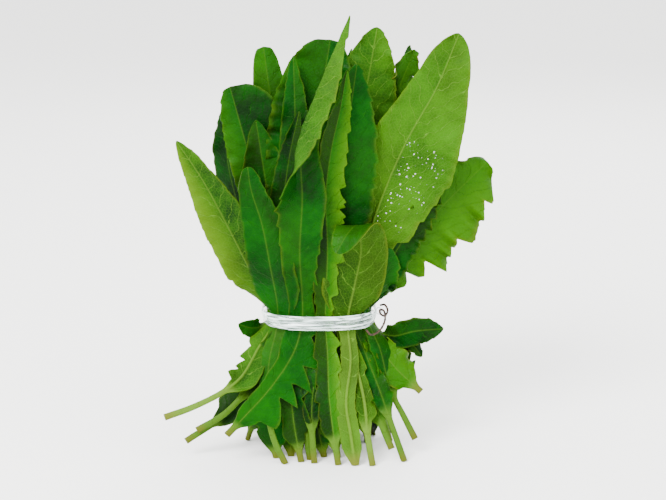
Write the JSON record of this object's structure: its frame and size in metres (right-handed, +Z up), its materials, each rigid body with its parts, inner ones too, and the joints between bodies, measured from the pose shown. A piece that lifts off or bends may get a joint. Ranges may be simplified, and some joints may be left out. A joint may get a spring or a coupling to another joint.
{
  "type": "bunch of chicory greens",
  "caption": "Bunch of long toothed leafy greens, fanned out above a clear band and standing on their splayed cut stems.",
  "frame": {"origin": "middle of the foot, on the surface that the cut stems stand on", "axes": "+Z up along the bunch, -Y the front of the bunch, +X to the right seen from the front"},
  "size_m": [0.2266, 0.1646, 0.3133],
  "materials": {
    "leaf": "fresh green leaf, satin above and paler and matt below",
    "clear_film": "clear glossy plastic strip",
    "rusty_wire": "thin wire gone brown with rust"
  },
  "bodies": {
    "root": {"leaf_front_folded_sword": "leaf", "leaf_front_ridged_sword": "leaf", "leaf_front_flap": "leaf", "leaf_front_small_right": "leaf", "leaf_left_blunt_sword": "leaf", "leaf_left_outer": "leaf", "leaf_centre_broad_sword": "leaf", "leaf_right_broad": "leaf", "leaf_centre_left_dark": "leaf", "leaf_left_pointed": "leaf", "leaf_top_left_slim": "leaf", "leaf_top_centre_dark": "leaf", "leaf_top_right_veined": "leaf", "leaf_top_right_curled": "leaf", "leaf_top_left_round": "leaf", "leaf_top_left_lean": "leaf", "leaf_left_dark": "leaf", "leaf_right_lean_dark": "leaf", "leaf_right_ragged": "leaf", "leaf_right_low_sideways": "leaf", "leaf_right_low_small": "leaf", "leaf_right_low_torn": "leaf", "leaf_left_low_tip": "leaf", "leaf_back_01": "leaf", "leaf_back_02": "leaf", "leaf_back_03": "leaf", "leaf_back_04": "leaf", "leaf_back_05": "leaf", "leaf_back_06": "leaf", "leaf_back_07": "leaf", "leaf_back_08": "leaf", "leaf_back_09": "leaf", "leaf_back_10": "leaf", "leaf_back_11": "leaf", "leaf_back_12": "leaf", "leaf_back_13": "leaf", "leaf_back_14": "leaf", "leaf_back_15": "leaf", "leaf_back_16": "leaf", "leaf_back_17": "leaf", "leaf_back_18": "leaf", "leaf_back_19": "leaf", "leaf_back_20": "leaf", "leaf_back_21": "leaf", "leaf_back_22": "leaf", "leaf_back_23": "leaf", "leaf_back_24": "leaf", "leaf_back_25": "leaf", "leaf_back_26": "leaf", "leaf_back_27": "leaf", "leaf_back_28": "leaf", "leaf_back_29": "leaf", "clear_band": "clear_film", "twist_wire": "rusty_wire"}
  },
  "joints": []
}
